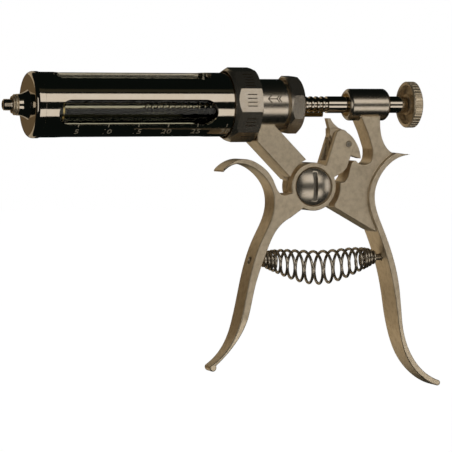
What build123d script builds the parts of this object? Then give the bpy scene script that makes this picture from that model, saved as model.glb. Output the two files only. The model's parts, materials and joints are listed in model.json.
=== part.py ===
from build123d import *
from math import atan2, cos, degrees, radians, sin
import os

# A repeating syringe with plier handles. The origin is the tip of the needle spigot on the barrel
# axis. X runs back along the barrel to the knob, Z is up, and the handles hang down. Millimetres.

# ---- Fits ----
thread_gap = 0.05      # radial, between screwed pieces
running_gap = 0.08     # radial, round a shaft that turns or slides
body_gap = 0.3         # between neighbours that move past each other
seat_gap = 0.02        # radial, between pieces pressed together

# ---- Needle connector and front cap ----
spigot_r = 2.6
spigot_len = 4.0
spigot_shoulder = 0.5          # radial step that centres the washer behind the spigot
washer_r = 3.9
washer_t = 0.85
flange_r = 4.65
flange_len = 1.55
cone_len = 4.8
cone_foot_r = 6.6
stem_r = 4.0
stem_len = 4.0
needle_passage_r = 0.8
cap_lip = 0.3                  # the cap stands this far outside the barrel
cap_len = 4.5
cap_round = 2.3
cap_boss_wall = 1.15           # barrel wall left round the cap's boss
cap_boss_len = 1.7
seal_t = 1.0

# ---- Barrel ----
case_r = 14.5
case_wall = 1.8
glass_fit = 0.15
glass_wall = 1.9
window_count = 4
window_width = 11.7
window_from_seam = 5.9
window_from_ring = 8.0
first_window_drop = 14.9       # degrees below level, on the near side

# ---- Dose rings, rod and piston ----
dose_pitch = 2.8               # one ring, one millilitre
capacity = 30                  # rings in a full stroke
rod_r = 3.875
rod_wall = 1.675
rod_step = 0.875               # from the rod down to the neck that holds the rubber
spare_rings = 3
groove_depth = 0.75
groove_top = 1.4
groove_floor = 0.5
end_gap = 0.3
front_plate_t = 1.2
rubber_t = 4.4
back_plate_t = 1.0
plate_clearance = 0.35

# ---- Frame sleeve, rear nut and rod guide ----
cup_thread_len = 1.2
collar_len = 4.6
frame_wall = 3.9               # round the selector's inner sleeve
sleeve_len = 14.8
neck_step = 1.7
neck_len = 1.1
nut_rise = 3.9                 # from its thread to its corners
nut_len = 6.8
nut_sides = 8
nut_flat_tilt = -5.0
nut_bevel = 1.5
nut_wall = 1.5
nut_washer_t = 1.4
guide_from_hinge = 18.3
guide_len = 20.5
guide_wall = 2.2
guide_bevel = 1.3
guide_bush_wall = 1.325

# ---- Selector ring and dose stop ----
selector_len = 12.8
selector_overlap = 0.2         # how far the ring covers the frame sleeve's shoulder
selector_rise = 2.65           # from the barrel out to the facets' corners
selector_lip_rise = 1.0
selector_bevel = 2.5
selector_sides = 10
selector_flat_tilt = 7.0
doses = 5
rest_dose = 4
dose_angle = 36.0
stop_clearance = 0.375         # radial, round the rod
stop_wall = 1.65
stop_spare = 1.4               # left in front of the stop at the largest dose
stop_full_inset = 3.3          # the tube is whole to here, inside the nut
stop_slot_inset = 8.3
stop_reach = 12.9              # how far the tongue shows behind the nut
stop_half_angle = 54.0
nose_room = 0.3                # on each side of the pawl's nose, in the tongue's slot
stop_undercut = 1.6
sleeve_wall = 1.25
drive_pin_r = 0.9
cam_pin_r = 1.0
cam_pin_back = 2.0             # from the rear end of the selector sleeve
cam_depth = 0.85
detent_turn = 180.0
detent_r = 1.2
detent_wire_r = 0.14
detent_pitch = 0.62

# ---- Hinge, lever and pawl ----
hinge_from_nut = 6.9
hinge_drop = 33.725            # from the rod's underside down to the hinge
boss_wall = 2.45               # round the screw's head
lever_half_depth = 6.0
arm_extra_depth = 1.7
arm_width = 11.3
arm_angle = 135.0
flange_extra_depth = 2.0
boss_clearance = 2.1
screw_r = 3.5
head_r = 8.65
head_sink = 1.6
head_rise = 2.2
slot_width = 2.2
slot_depth = 1.5
hinge_nut_r = 7.2
hinge_nut_t = 2.6
lap_gap = 0.5                  # filled by the hinge washer, less a little
pawl_arm_dx = 17.5
pawl_arm_dz = 19.4
pawl_pin_r = 1.3
pawl_nose_dx = 7.0
pawl_nose_dz = 31.35            # the nose lies this far above the hinge, just under the rings
cheek_gap = 0.4                # on each side of the pawl, in the fork
pawl_t = 5.2
nose_t = 3.0
nose_len = 4.6

# ---- Handles and their spring ----
grip_reach = 94.7              # from the hinge down to the rear handle's tip
lever_reach = 83.4             # from the hinge down to the front handle's tip
spring_drop = 33.6             # from the hinge down to the spring's axis
spring_turns = 6.25            # in each half of the barrel-shaped spring
spring_end_r = 3.3
spring_mid_r = 7.75
wire_r = 0.55
stud_r = 2.1
stud_shank_r = 1.5
stud_collar_r = 3.3
stud_collar_t = 0.9
stud_len = 6.0
lever_tip_half = 3.4           # the handles' half depths at their tips
flange_tip_half = 5.0
taper_drop = 60.0              # from the hinge down to where the handles start to narrow

# ---- Knob ----
knob_r = 10.8
knob_from_guide = 10.2
knob_len = 4.8
knob_rim = 1.6
knob_recess = 2.6
knob_hub_wall = 1.025          # from the rod out to the knob's hub
knob_knurls = 40
knurl_r = 0.45
knob_nut_r = 4.2
knob_nut_len = 1.8

# ---- Places worked out from the sizes ----
case_bore_r = case_r - case_wall
cap_r = case_r + cap_lip
cap_boss_r = case_r - cap_boss_wall
rod_bore_r = rod_r - rod_wall
rod_neck_r = rod_r - rod_step
glass_r = case_bore_r - glass_fit
glass_bore_r = glass_r - glass_wall
shoulder_r = spigot_r + spigot_shoulder
washer_x = spigot_len
flange_x = washer_x + washer_t
cone_x = flange_x + flange_len
cap_x = cone_x + cone_len
seam_x = cap_x + cap_len
boss_end_x = seam_x + cap_boss_len
glass_x = boss_end_x + seal_t
piston_len = front_plate_t + rubber_t + back_plate_t
piston_x = glass_x + end_gap
rubber_x = piston_x + front_plate_t
back_plate_x = rubber_x + rubber_t
shoulder_x = back_plate_x + back_plate_t
stroke = capacity * dose_pitch
glass_end_x = shoulder_x + stroke + end_gap + 0.2
cup_x = glass_end_x + seal_t
collar_x = cup_x + cup_thread_len
sleeve_x = collar_x + collar_len
neck_x = sleeve_x + sleeve_len
nut_x = neck_x + neck_len
nut_end_x = nut_x + nut_len
spigot_end_x = nut_end_x - nut_wall - nut_washer_t
selector_end = sleeve_x + selector_overlap
selector_start = selector_end - selector_len
selector_bore_r = case_r + running_gap
selector_r = case_r + selector_rise
selector_lip_r = case_r + selector_lip_rise
window_start = seam_x + window_from_seam
window_end = selector_start - window_from_ring
stop_bore_r = rod_r + stop_clearance
stop_r = stop_bore_r + stop_wall
stop_hole_r = stop_r + body_gap
drive_sleeve_bore_r = stop_r + body_gap + 0.05
drive_sleeve_r = drive_sleeve_bore_r + sleeve_wall
drive_hole_r = drive_sleeve_r + body_gap
sleeve_r = drive_hole_r + frame_wall
neck_r = sleeve_r - neck_step
nut_r = neck_r + nut_rise
bush_end_x = collar_x + 1.0
drive_sleeve_x = bush_end_x + body_gap
drive_sleeve_end = neck_x - 1.0
drive_pin_x = collar_x + collar_len / 2
cam_pin_x = drive_sleeve_end - cam_pin_back
dose_down = (rest_dose - 1) * dose_angle
dose_up = (doses - rest_dose) * dose_angle
detent_floor = drive_hole_r + 1.0
detent_coil_r = detent_r - 0.3
detent_len = case_r - 2 * detent_r - detent_floor - 0.45
stop_start = bush_end_x + dose_pitch * (doses - rest_dose) + stop_spare
stop_full_end = nut_end_x - stop_full_inset
stop_slot_start = nut_end_x - stop_slot_inset
stop_tip = nut_end_x + stop_reach
hinge_x = nut_end_x + hinge_from_nut
hinge_z = -rod_r - hinge_drop
boss_r = head_r + boss_wall
arm_half_depth = lever_half_depth + arm_extra_depth
flange_half_depth = lever_half_depth + flange_extra_depth
fork_slot = pawl_t + 2 * cheek_gap
stop_slot = nose_t + 2 * nose_room
pawl_x = hinge_x + pawl_arm_dx
pawl_z = hinge_z + pawl_arm_dz
guide_start = hinge_x + guide_from_hinge
guide_bush_r = rod_r + guide_bush_wall
guide_r = guide_bush_r + guide_wall
knob_start = guide_start + guide_len + knob_from_guide
knob_end = knob_start + knob_len
knob_hub_r = rod_r + knob_hub_wall
rod_end = knob_start + 0.1
ring_start = hinge_x + pawl_nose_dx - stroke - 2 * dose_pitch
ring_count = capacity + spare_rings

os.makedirs("parts", exist_ok=True)


def save(piece, name):
    """Label one finished piece and write it."""
    piece.part.label = name
    export_step(piece.part, "parts/" + name + ".step")


def turned(profile, mode=Mode.ADD):
    """Revolve a closed half profile of (x, radius) corners about the barrel axis."""
    with BuildSketch(Plane.XZ) as half:
        with BuildLine():
            Polyline(*profile, close=True)
        make_face()
    revolve(half.sketch, axis=Axis.X, mode=mode)


def tube(start, end, outer, inner=0.0, mode=Mode.ADD):
    """A plain round length on the barrel axis, bored where inner is given."""
    turned([(start, inner), (end, inner), (end, outer), (start, outer)], mode)


def cross(radius, near, far, x=hinge_x, z=hinge_z, mode=Mode.ADD):
    """A round length across the handles, from depth near to depth far."""
    with BuildSketch(Plane.XZ.offset(-near)) as disc:
        with Locations((x, z)):
            Circle(radius)
    extrude(disc.sketch, amount=near - far, mode=mode)


def slab(draw, near, far, mode=Mode.ADD):
    """Extrude the closed side outline that draw makes, from depth near to depth far."""
    with BuildSketch(Plane.XZ.offset(-near)) as side:
        with BuildLine():
            draw()
        make_face()
    extrude(side.sketch, amount=near - far, mode=mode)


def half_plane(turn):
    """The plane through the barrel axis whose own Y points out at an angle turned from the top."""
    return Plane(origin=(0, 0, 0), x_dir=(1, 0, 0), z_dir=(0, -cos(radians(turn)), -sin(radians(turn))))


def spoke(radius, inner, outer, x, turn, mode=Mode.ADD):
    """A radial pin or hole at x, between two distances from the barrel axis."""
    out = Vector(0, -sin(radians(turn)), cos(radians(turn)))
    with BuildSketch(Plane(origin=Vector(x, 0, 0) + out * inner, x_dir=(1, 0, 0), z_dir=out)) as end:
        Circle(radius)
    extrude(end.sketch, amount=outer - inner, mode=mode)


def polygon_ring(sides, radius, tilt, start, end, mode):
    """A many-sided length with one flat turned up by tilt from the near side."""
    with BuildSketch(Plane.YZ.offset(start)) as facets:
        RegularPolygon(radius, sides, rotation=180 - tilt - 180 / sides)
    extrude(facets.sketch, amount=end - start, mode=mode)


def at(dx, dz):
    """A point beside the hinge."""
    return (hinge_x + dx, hinge_z + dz)


def narrow(full_half, tip_half, reach):
    """Narrow a handle's depth, from taper_drop below the hinge down to its tip."""
    low = hinge_z - reach - 2
    for side in (-1, 1):
        with BuildSketch(Plane.YZ.offset(hinge_x - grip_reach)) as wedge:
            with BuildLine():
                Polyline(
                    (side * full_half, hinge_z - taper_drop), (side * tip_half, low),
                    (side * (full_half + 3), low), (side * (full_half + 3), hinge_z - taper_drop),
                    close=True,
                )
            make_face()
        extrude(wedge.sketch, amount=2 * grip_reach, mode=Mode.SUBTRACT)


def along_arm(distance, side):
    """A point on the frame's front arm: distance out from the hinge, side across the arm."""
    angle = radians(arm_angle)
    return at(distance * cos(angle) + side * sin(angle), distance * sin(angle) - side * cos(angle))


# ================= Needle end =================
with BuildPart() as needle_connector:
    with BuildSketch(Plane.XZ):
        with BuildLine():
            Polyline((0, spigot_r), (washer_x, spigot_r), (washer_x, shoulder_r), (flange_x, shoulder_r))
            Polyline((flange_x, shoulder_r), (flange_x, flange_r), (cone_x, flange_r))
            Spline((cone_x, flange_r), (cone_x + cone_len * 0.5, flange_r + 0.35), (cap_x, cone_foot_r))
            Polyline((cap_x, cone_foot_r), (cap_x, stem_r), (cap_x + stem_len, stem_r))
            Polyline((cap_x + stem_len, stem_r), (cap_x + stem_len, needle_passage_r))
            Polyline((cap_x + stem_len, needle_passage_r), (0, needle_passage_r))
            Line((0, needle_passage_r), (0, spigot_r))
        make_face()
    revolve(axis=Axis.X)
save(needle_connector, "needle_connector")

with BuildPart() as connector_washer:
    tube(washer_x, flange_x, washer_r, shoulder_r + thread_gap)
save(connector_washer, "connector_washer")

with BuildPart() as front_cap:
    tube(cap_x, seam_x, cap_r)
    fillet(front_cap.edges().filter_by(GeomType.CIRCLE).sort_by(Axis.X)[0], cap_round)
    tube(seam_x, boss_end_x, cap_boss_r)
    tube(cap_x, cap_x + stem_len, stem_r + thread_gap, mode=Mode.SUBTRACT)
    tube(cap_x, boss_end_x, needle_passage_r * 2, mode=Mode.SUBTRACT)
save(front_cap, "front_cap")

# ================= Barrel =================
with BuildPart() as front_seal:
    tube(boss_end_x, glass_x, glass_r, needle_passage_r * 2.5)
save(front_seal, "front_seal")

with BuildPart() as glass_cylinder:
    tube(glass_x, glass_end_x, glass_r, glass_bore_r)
save(glass_cylinder, "glass_cylinder")

with BuildPart() as rear_seal:
    tube(glass_end_x, cup_x, glass_r, glass_bore_r)
save(rear_seal, "rear_seal")

with BuildPart() as barrel_case:
    tube(seam_x, collar_x, case_r, case_bore_r)
    tube(seam_x, boss_end_x, cap_boss_r + thread_gap, mode=Mode.SUBTRACT)
    window_mid = (window_start + window_end) / 2
    for window in range(window_count):
        turn = 90 + first_window_drop + window * 360 / window_count
        out = Vector(0, -sin(radians(turn)), cos(radians(turn)))
        with BuildSketch(Plane(origin=(window_mid, 0, 0), x_dir=(1, 0, 0), z_dir=out)):
            SlotOverall(window_end - window_start, window_width)
        extrude(amount=case_r * 2, mode=Mode.SUBTRACT)
save(barrel_case, "barrel_case")


# ================= Frame: sleeve, front arm, hinge half, plate and rear handle =================
def front_arm():
    """The bar from the sleeve down to the hinge, cut upright where it meets the selector ring."""
    root_x = sleeve_x + 0.8
    root_z = -sleeve_r * 0.77
    left = along_arm(0, -arm_width / 2)
    right = along_arm(0, arm_width / 2)
    left_drop = left[1] + (left[0] - root_x)
    right_root = right[0] + (right[1] - root_z)
    Polyline((root_x, root_z), (root_x, left_drop), left, right, (right_root, root_z), close=True)


def rear_plate():
    """The web between the rod guide, the hinge and the rear handle, with the pawl's valley."""
    Polyline(at(12.3, 1.6), at(15.4, 1.9), at(17.1, 4.2), at(18.8, 10.4), at(20.0, 11.8), at(21.3, 11.8))
    Spline(at(21.3, 11.8), at(25.5, 9.9), at(28.5, 11.0), at(29.7, 14.1), at(29.6, 17.5))
    Polyline(at(29.6, 17.5), at(27.2, 24.5), (hinge_x + 23.8, -guide_r * 0.75))
    Line((hinge_x + 23.8, -guide_r * 0.75), (hinge_x + 33.6, -guide_r * 0.75))
    Spline((hinge_x + 33.6, -guide_r * 0.75), at(33.6, 27.1), at(35.7, 19.4), at(38.2, 16.3), at(43.0, 14.8))
    Spline(at(43.0, 14.8), at(37.6, 11.7), at(30.8, 3.3), at(28.1, -5.9), at(29.1, -13.2), at(31.8, -21.3))
    Polyline(at(31.8, -21.3), at(29.7, -20.5), at(10.2, -9.6), at(12.3, 1.6))


def hinge_web():
    """The far half of the plate, carried in to the frame's half of the hinge."""
    Polyline(at(0, 0), at(10.5, 1.6), at(15.0, 1.6), at(15.0, -11.4), at(10.2, -9.6), at(3.8, -10.4), close=True)


def rear_flange():
    """The broad back of the rear handle, from its horn to its turned-out tip."""
    low = grip_reach / 94.7
    Spline(
        at(48.3, 14.3), at(41.5, 12.7), at(33.4, 5.5), at(30.0, -3.7), at(34.7, -20.6 * low),
        at(42.8, -47.6 * low), at(45.6, -69.0 * low), at(53.3, -84.2 * low), at(64.6, -92.2 * low),
    )
    ThreePointArc(at(64.6, -92.2 * low), at(65.5, -94.0 * low), at(63.7, -94.7 * low))
    Spline(
        at(63.7, -94.7 * low), at(55.0, -89.7 * low), at(47.2, -79.8 * low), at(44.0, -71.0 * low),
        at(40.2, -49.2 * low), at(31.8, -21.3 * low), at(26.9, -4.5), at(30.8, 6.3), at(40.8, 15.3),
    )
    Line(at(40.8, 15.3), at(48.3, 14.3))


with BuildPart() as grip_frame:
    tube(cup_x, collar_x, case_bore_r - thread_gap)
    tube(collar_x, sleeve_x, case_r)
    tube(sleeve_x, neck_x, sleeve_r)
    tube(neck_x, spigot_end_x, neck_r)
    slab(front_arm, -arm_half_depth, arm_half_depth)
    cross(boss_r, lap_gap / 2, lever_half_depth)
    slab(hinge_web, lap_gap / 2, lever_half_depth)
    slab(rear_plate, -lever_half_depth, lever_half_depth)
    slab(rear_flange, -flange_half_depth, flange_half_depth)
    narrow(flange_half_depth, flange_tip_half, grip_reach)
    turned([
        (guide_start, 0), (guide_start, guide_r - guide_bevel), (guide_start + guide_bevel, guide_r),
        (guide_start + guide_len - guide_bevel, guide_r),
        (guide_start + guide_len, guide_r - guide_bevel), (guide_start + guide_len, 0),
    ])
    # The lever's half of the hinge lies in a round recess on the near side.
    cross(boss_r + boss_clearance, -arm_half_depth - 1, lap_gap / 2, mode=Mode.SUBTRACT)
    cross(boss_r + 0.2, lever_half_depth, arm_half_depth + 1, mode=Mode.SUBTRACT)
    tube(cup_x, drive_sleeve_end + body_gap, drive_hole_r, mode=Mode.SUBTRACT)
    tube(cup_x, spigot_end_x, stop_hole_r, mode=Mode.SUBTRACT)
    tube(guide_start, guide_start + guide_len, guide_bush_r, mode=Mode.SUBTRACT)
    cross(screw_r + seat_gap, 0, lever_half_depth, mode=Mode.SUBTRACT)
    # Slot in the collar for the pin that joins the selector ring to its inner sleeve.
    slot_room = degrees((drive_pin_r + body_gap) / drive_hole_r) + 1
    with BuildSketch(half_plane(-dose_down - slot_room)):
        with BuildLine():
            slot_front = drive_pin_x - drive_pin_r - body_gap
            slot_back = drive_pin_x + drive_pin_r + body_gap
            Polyline(
                (slot_front, drive_hole_r - 1), (slot_back, drive_hole_r - 1),
                (slot_back, case_r + 1), (slot_front, case_r + 1), close=True,
            )
        make_face()
    revolve(axis=Axis.X, revolution_arc=dose_down + dose_up + 2 * slot_room, mode=Mode.SUBTRACT)
    # Blind hole for the selector's click ball, opposite the slot.
    spoke(detent_r + running_gap, detent_floor, case_r + 1, drive_pin_x, detent_turn, Mode.SUBTRACT)
    # Hole for the rear spring stud.
    stud_rear_face = hinge_x + 33.0
    with BuildSketch(Plane.YZ.offset(stud_rear_face)):
        with Locations((0, hinge_z - spring_drop)):
            Circle(stud_shank_r + seat_gap)
    extrude(amount=12, mode=Mode.SUBTRACT)
save(grip_frame, "grip_frame")

with BuildPart() as rod_bush:
    tube(cup_x, bush_end_x, drive_hole_r - seat_gap, rod_r + running_gap)
save(rod_bush, "rod_bush")

with BuildPart() as guide_bush:
    tube(guide_start + 0.2, guide_start + guide_len - 0.2, guide_bush_r - seat_gap, rod_r + running_gap)
save(guide_bush, "guide_bush")

with BuildPart() as rear_nut:
    polygon_ring(nut_sides, nut_r, nut_flat_tilt, nut_x, nut_end_x, Mode.ADD)
    turned([
        (nut_x, 0), (nut_x, nut_r - nut_bevel), (nut_x + nut_bevel, nut_r),
        (nut_end_x - nut_bevel, nut_r), (nut_end_x, nut_r - nut_bevel), (nut_end_x, 0),
    ], Mode.INTERSECT)
    tube(nut_x, nut_end_x - nut_wall, neck_r + thread_gap, mode=Mode.SUBTRACT)
    tube(nut_x, nut_end_x, stop_hole_r, mode=Mode.SUBTRACT)
save(rear_nut, "rear_nut")

with BuildPart() as nut_washer:
    tube(spigot_end_x, spigot_end_x + nut_washer_t, neck_r - 0.1, stop_hole_r)
save(nut_washer, "nut_washer")

with BuildPart() as detent_ball:
    with Locations((drive_pin_x, 0, detent_r + running_gap - case_r)):
        Sphere(detent_r)
save(detent_ball, "detent_ball")

with BuildPart() as detent_spring:
    detent_foot = (drive_pin_x, 0, -detent_floor - 0.2)
    with BuildLine():
        detent_coil = Helix(detent_pitch, detent_len, detent_coil_r, detent_foot, (0, 0, -1))
    with BuildSketch(detent_coil ^ 0):
        Circle(detent_wire_r)
    sweep(path=detent_coil, is_frenet=True)
save(detent_spring, "detent_spring")

# ================= Selector =================
with BuildPart() as selector_ring:
    polygon_ring(selector_sides, selector_r, selector_flat_tilt, selector_start, selector_end, Mode.ADD)
    turned([
        (selector_start, 0), (selector_start, selector_lip_r),
        (selector_start + selector_bevel, selector_r), (selector_end - 0.6, selector_r),
        (selector_end, selector_r - 0.6), (selector_end, 0),
    ], Mode.INTERSECT)
    tube(selector_start, selector_end, selector_bore_r, mode=Mode.SUBTRACT)
    turned([
        (selector_start, selector_bore_r), (selector_start, selector_lip_r - 0.25),
        (selector_start + selector_bevel, selector_bore_r),
    ], Mode.SUBTRACT)
    spoke(drive_pin_r + seat_gap, case_r, case_r + 1.4, drive_pin_x, 0, Mode.SUBTRACT)
save(selector_ring, "selector_ring")

with BuildPart() as drive_pin:
    spoke(drive_pin_r, drive_sleeve_bore_r + 0.3, case_r + 1.3, drive_pin_x, 0)
save(drive_pin, "drive_pin")

with BuildPart() as selector_sleeve:
    tube(drive_sleeve_x, drive_sleeve_end, drive_sleeve_r, drive_sleeve_bore_r)
    spoke(drive_pin_r + seat_gap, stop_r, drive_hole_r, drive_pin_x, 0, Mode.SUBTRACT)
    spoke(cam_pin_r + seat_gap, stop_r, drive_hole_r, cam_pin_x, 0, Mode.SUBTRACT)
save(selector_sleeve, "selector_sleeve")

with BuildPart() as cam_pin:
    spoke(cam_pin_r, stop_r - cam_depth + body_gap, drive_sleeve_r - 0.1, cam_pin_x, 0)
save(cam_pin, "cam_pin")

with BuildPart() as dose_stop:
    tube(stop_start, stop_tip, stop_r, stop_bore_r)
    # Behind the nut only a trough under the rod is left, with a slanted, undercut end.
    tongue_mid = (stop_full_end + stop_tip) / 2 + 1
    tongue_len = stop_tip - stop_full_end + 2
    edge_z = -stop_r * cos(radians(stop_half_angle))
    with BuildSketch(Plane.XY.offset(edge_z)):
        with Locations((tongue_mid, 0)):
            Rectangle(tongue_len, 4 * stop_r)
    extrude(amount=3 * stop_r, mode=Mode.SUBTRACT)
    with BuildSketch(Plane.XY.offset(-2 * stop_r)):
        with Locations(((stop_slot_start + stop_tip) / 2 + 1, 0)):
            Rectangle(stop_tip - stop_slot_start + 2, stop_slot)
    extrude(amount=2 * stop_r, mode=Mode.SUBTRACT)
    with BuildSketch(Plane.XZ.offset(2 * stop_r)):
        with BuildLine():
            Polyline(
                (stop_tip + 1, 0), (stop_tip - stop_undercut - 1, 0),
                (stop_tip, -stop_r), (stop_tip + 1, -stop_r), close=True,
            )
        make_face()
    extrude(amount=-4 * stop_r, mode=Mode.SUBTRACT)
    # The helical cam groove, cut as a row of overlapping round dimples.
    groove_steps = 24
    for step in range(groove_steps + 1):
        turn = -dose_down + (dose_down + dose_up) * step / groove_steps
        groove_x = cam_pin_x + dose_pitch * turn / dose_angle
        spoke(cam_pin_r + body_gap, stop_r - cam_depth, stop_r + 1, groove_x, turn, Mode.SUBTRACT)
save(dose_stop, "dose_stop")


# ================= Front lever and hinge =================
def lever_handle():
    """The front handle: finger hook, neck at the hinge, and a bar that thins to its tip."""
    low = lever_reach / 83.4
    Spline(
        at(-45.1, 7.8), at(-40.0, 11.7), at(-34.0, 12.95), at(-26.4, 10.1), at(-20.1, 3.3),
        at(-16.7, -2.8), at(-14.6, -3.8),
    )
    Line(at(-14.6, -3.8), at(-8.0, -2.0))
    Polyline(at(-8.0, -2.0), at(-5.1, -9.8), at(-11.5, -14.1))
    Spline(
        at(-11.5, -14.1), at(-18.7, -20.1), at(-23.4, -29.6), at(-29.1, -45.7 * low),
        at(-33.6, -63.0 * low), at(-41.8, -75.6 * low), at(-47.4, -81.1 * low),
    )
    ThreePointArc(at(-47.4, -81.1 * low), at(-49.6, -83.4 * low), at(-49.9, -80.9 * low))
    Spline(
        at(-49.9, -80.9 * low), at(-39.4, -69.2 * low), at(-33.7, -50.0 * low), at(-30.8, -37.5),
        at(-26.0, -24.3), at(-20.1, -10.7), at(-20.8, -1.1), at(-25.4, 5.6), at(-32.3, 10.0),
        at(-37.6, 10.8), at(-41.6, 9.5), at(-44.7, 6.9),
    )
    Line(at(-44.7, 6.9), at(-45.1, 7.8))


def fork_arm():
    """The arm above the hinge that carries the pawl between two cheeks."""
    Polyline(at(0, 0), at(2.5, 9.0), at(6.2, 9.7), at(11.2, 24.6))
    ThreePointArc(at(11.2, 24.6), at(13.3, 26.1), at(17.0, 24.6))
    Spline(at(17.0, 24.6), at(19.6, 21.8), at(20.9, 19.5))
    Polyline(at(20.9, 19.5), at(19.6, 16.5), at(16.6, 8.4), at(14.6, 6.3), at(11.2, 4.7), at(0, 0))


with BuildPart() as front_lever:
    slab(lever_handle, -lever_half_depth, lever_half_depth)
    narrow(lever_half_depth, lever_tip_half, lever_reach)
    slab(fork_arm, -lever_half_depth, lever_half_depth)
    cross(boss_r, -lever_half_depth, -lap_gap / 2)
    cross(boss_r + body_gap + 0.1, -lap_gap / 2, arm_half_depth, mode=Mode.SUBTRACT)
    cross(screw_r + running_gap, -arm_half_depth, arm_half_depth, mode=Mode.SUBTRACT)
    cross(head_r + body_gap, -lever_half_depth, head_sink - lever_half_depth, mode=Mode.SUBTRACT)
    # The slot for the pawl: everything between the cheeks, down to a step above the hinge.
    with BuildSketch(Plane.XY.offset(hinge_z + 12.0)):
        with Locations((hinge_x + 14.0, 0)):
            Rectangle(20.0, fork_slot)
    extrude(amount=30, mode=Mode.SUBTRACT)
    cross(pawl_pin_r + seat_gap, -lever_half_depth, lever_half_depth, pawl_x, pawl_z, Mode.SUBTRACT)
    # Hole for the front spring stud.
    stud_front_face = hinge_x - 23.2
    with BuildSketch(Plane.YZ.offset(stud_front_face)):
        with Locations((0, hinge_z - spring_drop)):
            Circle(stud_shank_r + seat_gap)
    extrude(amount=-12, mode=Mode.SUBTRACT)
save(front_lever, "front_lever")

with BuildPart() as hinge_screw:
    head_face = head_sink - lever_half_depth - 0.1
    dome_y = head_face - head_sink - head_rise
    with BuildSketch(Plane(origin=(hinge_x, 0, hinge_z), x_dir=(1, 0, 0), z_dir=(0, 0, -1))):
        with BuildLine():
            Polyline((0, -head_face), (head_r, -head_face), (head_r, -head_face + 1.2))
            ThreePointArc(
                (head_r, -head_face + 1.2), (head_r * 0.55, -dome_y - 0.75), (0, -dome_y)
            )
            Line((0, -dome_y), (0, -head_face))
        make_face()
    revolve(axis=Axis((hinge_x, 0, hinge_z), (0, 1, 0)))
    cross(screw_r, head_face, lever_half_depth + hinge_nut_t + 0.6)
    with BuildSketch(Plane.XZ.offset(-dome_y)):
        with Locations((hinge_x, hinge_z)):
            Rectangle(slot_width, 2 * head_r)
    extrude(amount=-slot_depth, mode=Mode.SUBTRACT)
save(hinge_screw, "hinge_screw")

with BuildPart() as hinge_washer:
    cross(head_r, -lap_gap / 2 + 0.05, lap_gap / 2)
    cross(screw_r + seat_gap, -lap_gap, lap_gap, mode=Mode.SUBTRACT)
save(hinge_washer, "hinge_washer")

with BuildPart() as hinge_nut:
    with BuildSketch(Plane.XZ.offset(-lever_half_depth)):
        with Locations((hinge_x, hinge_z)):
            RegularPolygon(hinge_nut_r, 6)
            Circle(screw_r + thread_gap, mode=Mode.SUBTRACT)
    extrude(amount=-hinge_nut_t)
save(hinge_nut, "hinge_nut")


# ================= Pawl =================
def pawl_outline():
    """Nose up to the rod's rings, hollow back, tail over the frame's shoulder."""
    Line(at(8.3, pawl_nose_dz), at(10.2, pawl_nose_dz))
    Spline(at(10.2, pawl_nose_dz), at(12.2, 28.6), at(15.6, 26.1), at(19.6, 23.8), at(22.6, 20.4), at(25.2, 12.6))
    Polyline(at(25.2, 12.6), at(20.9, 13.9), at(15.0, 15.2), at(11.9, 19.0), at(9.4, 23.9), at(9.4, 27.2))
    Line(at(9.4, 27.2), at(8.3, pawl_nose_dz))


with BuildPart() as pawl:
    slab(pawl_outline, -pawl_t / 2, pawl_t / 2)
    # The nose is thinned on both sides so that it passes up through the dose stop's slot.
    nose_floor = hinge_z + pawl_nose_dz - nose_len
    for side in (-1, 1):
        with BuildSketch(Plane.XY.offset(nose_floor)):
            with Locations((hinge_x + 8.0, side * (nose_t / 2 + pawl_t / 2))):
                Rectangle(30, pawl_t)
        extrude(amount=nose_len + 1, mode=Mode.SUBTRACT)
    cross(pawl_pin_r + running_gap, -pawl_t, pawl_t, pawl_x, pawl_z, Mode.SUBTRACT)
save(pawl, "pawl")

with BuildPart() as pawl_pin:
    cross(pawl_pin_r, -lever_half_depth, lever_half_depth, pawl_x, pawl_z)
save(pawl_pin, "pawl_pin")


def pawl_leaf():
    """A thin leaf from the slot's floor up behind the pawl's nose."""
    Polyline(at(8.6, 12.02), at(9.4, 12.02), at(9.9, 18.0), at(9.2, 22.6), at(8.8, 22.5), at(9.5, 18.0), close=True)


with BuildPart() as pawl_spring:
    slab(pawl_leaf, -1.8, 1.8)
save(pawl_spring, "pawl_spring")


# ================= Handle spring and its studs =================
def stud(face, direction, shank):
    """A riveted stud: shank through the handle, collar, and a peg inside the spring's end."""
    with BuildSketch(Plane.YZ.offset(face - direction * shank)) as shank_end:
        with Locations((0, hinge_z - spring_drop)):
            Circle(stud_shank_r)
    extrude(shank_end.sketch, amount=direction * (shank + stud_collar_t))
    with BuildSketch(Plane.YZ.offset(face)) as collar:
        with Locations((0, hinge_z - spring_drop)):
            Circle(stud_collar_r)
    extrude(collar.sketch, amount=direction * stud_collar_t)
    with BuildSketch(Plane.YZ.offset(face + direction * stud_collar_t)) as peg:
        with Locations((0, hinge_z - spring_drop)):
            Circle(stud_r)
    extrude(peg.sketch, amount=direction * stud_len)


with BuildPart() as spring_stud_front:
    stud(stud_front_face, 1, 4.0)
save(spring_stud_front, "spring_stud_front")

with BuildPart() as spring_stud_rear:
    stud(stud_rear_face, -1, 4.6)
save(spring_stud_rear, "spring_stud_rear")

with BuildPart() as handle_spring:
    spring_x0 = stud_front_face + stud_collar_t + wire_r + 0.1
    spring_x1 = stud_rear_face - stud_collar_t - wire_r - 0.1
    half_len = (spring_x1 - spring_x0) / 2
    taper = degrees(atan2(spring_mid_r - spring_end_r, half_len))
    pitch = half_len / (spring_turns * cos(radians(taper)))
    for start, direction in ((spring_x0, 1), (spring_x1, -1)):
        foot = (start, 0, hinge_z - spring_drop)
        with BuildLine() as coil:
            Helix(pitch, half_len, spring_end_r, foot, (direction, 0, 0), taper)
        with BuildSketch(coil.line ^ 0) as wire:
            Circle(wire_r)
        sweep(wire.sketch, path=coil.line, is_frenet=True)
save(handle_spring, "handle_spring")

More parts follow.
